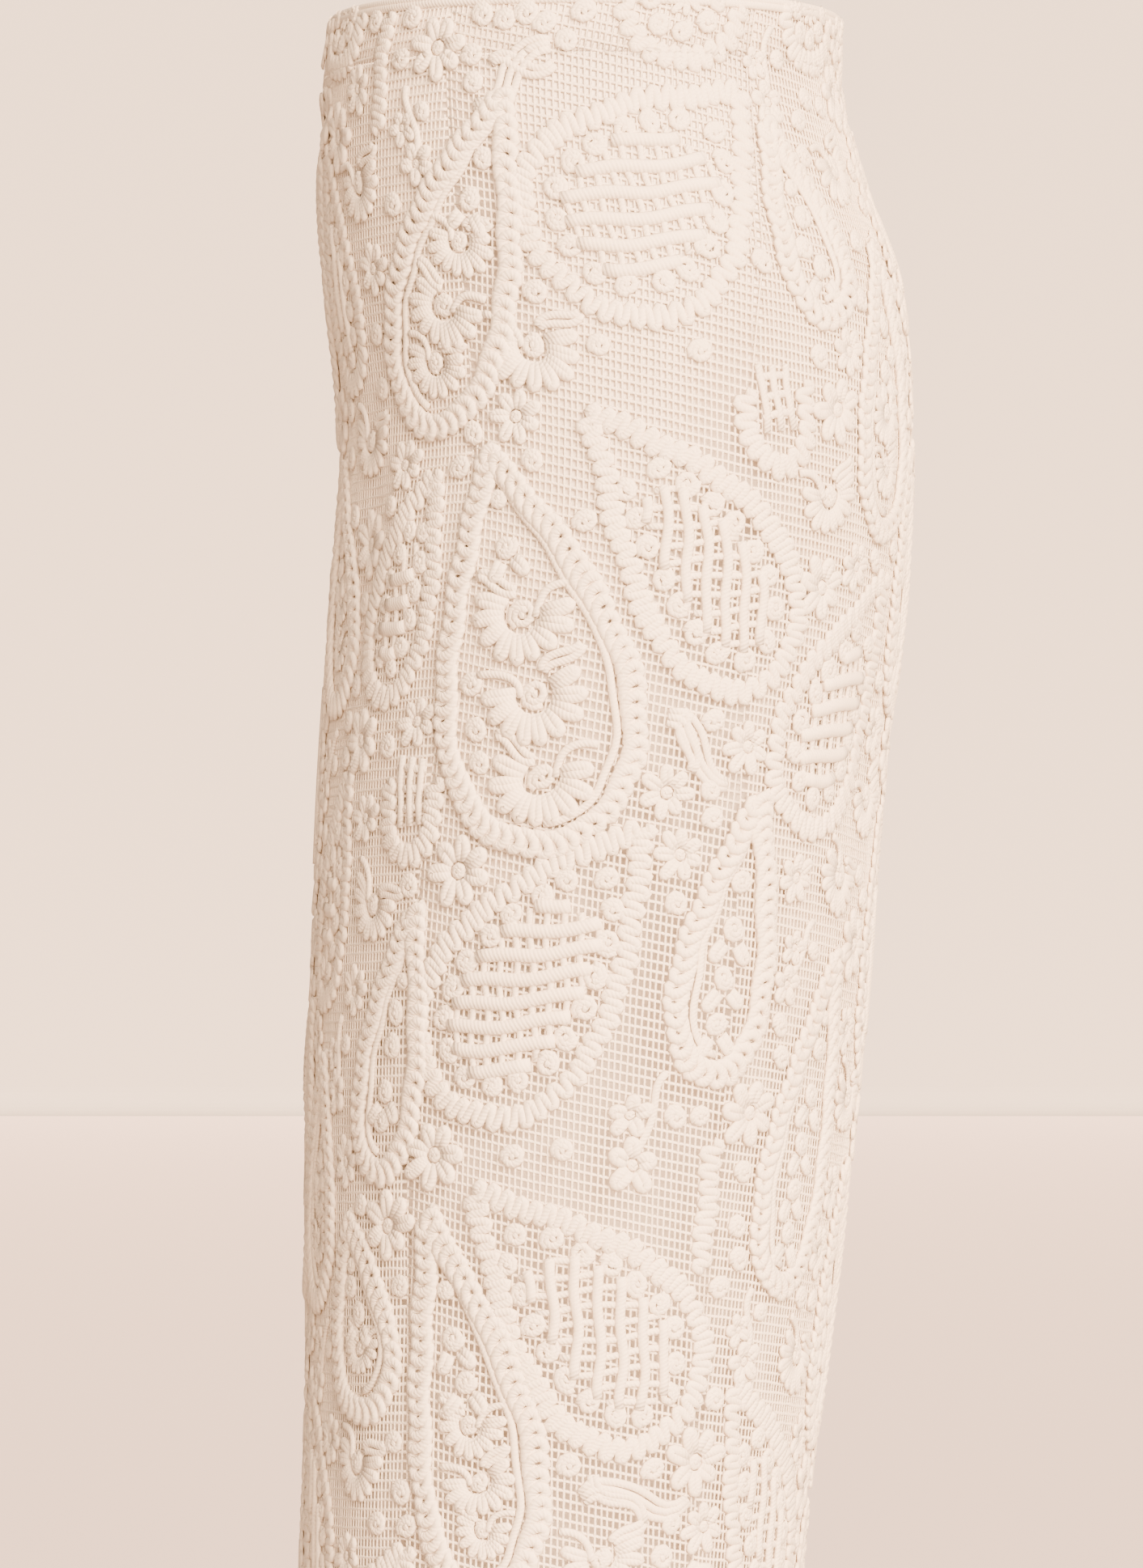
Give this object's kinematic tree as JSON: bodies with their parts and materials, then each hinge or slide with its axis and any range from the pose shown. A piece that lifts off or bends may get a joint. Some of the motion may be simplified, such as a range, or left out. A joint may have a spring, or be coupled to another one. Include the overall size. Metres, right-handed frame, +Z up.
{
  "type": "long corded net column skirt",
  "caption": "Long narrow skirt of cotton net with raised corded paisleys, narrow waistband and plain slip lining, in its worn hollow shape.",
  "frame": {"origin": "centre of the waist's top edge, where the wearer holds the skirt", "axes": "+Z up along the body, the front at -Y, the wearer's left side at +X"},
  "size_m": [0.3458, 0.2584, 0.78],
  "materials": {
    "corded_net": "matt off-white cotton cord on open net",
    "waistband_cloth": "matt off-white cotton",
    "slip_cloth": "smooth warm off-white cotton"
  },
  "bodies": {
    "root": {"waistband": "waistband_cloth", "front_panel": "corded_net", "side_panel_left": "corded_net", "side_panel_right": "corded_net", "back_panel_left": "corded_net", "back_panel_right": "corded_net", "lining": "slip_cloth"}
  },
  "joints": []
}
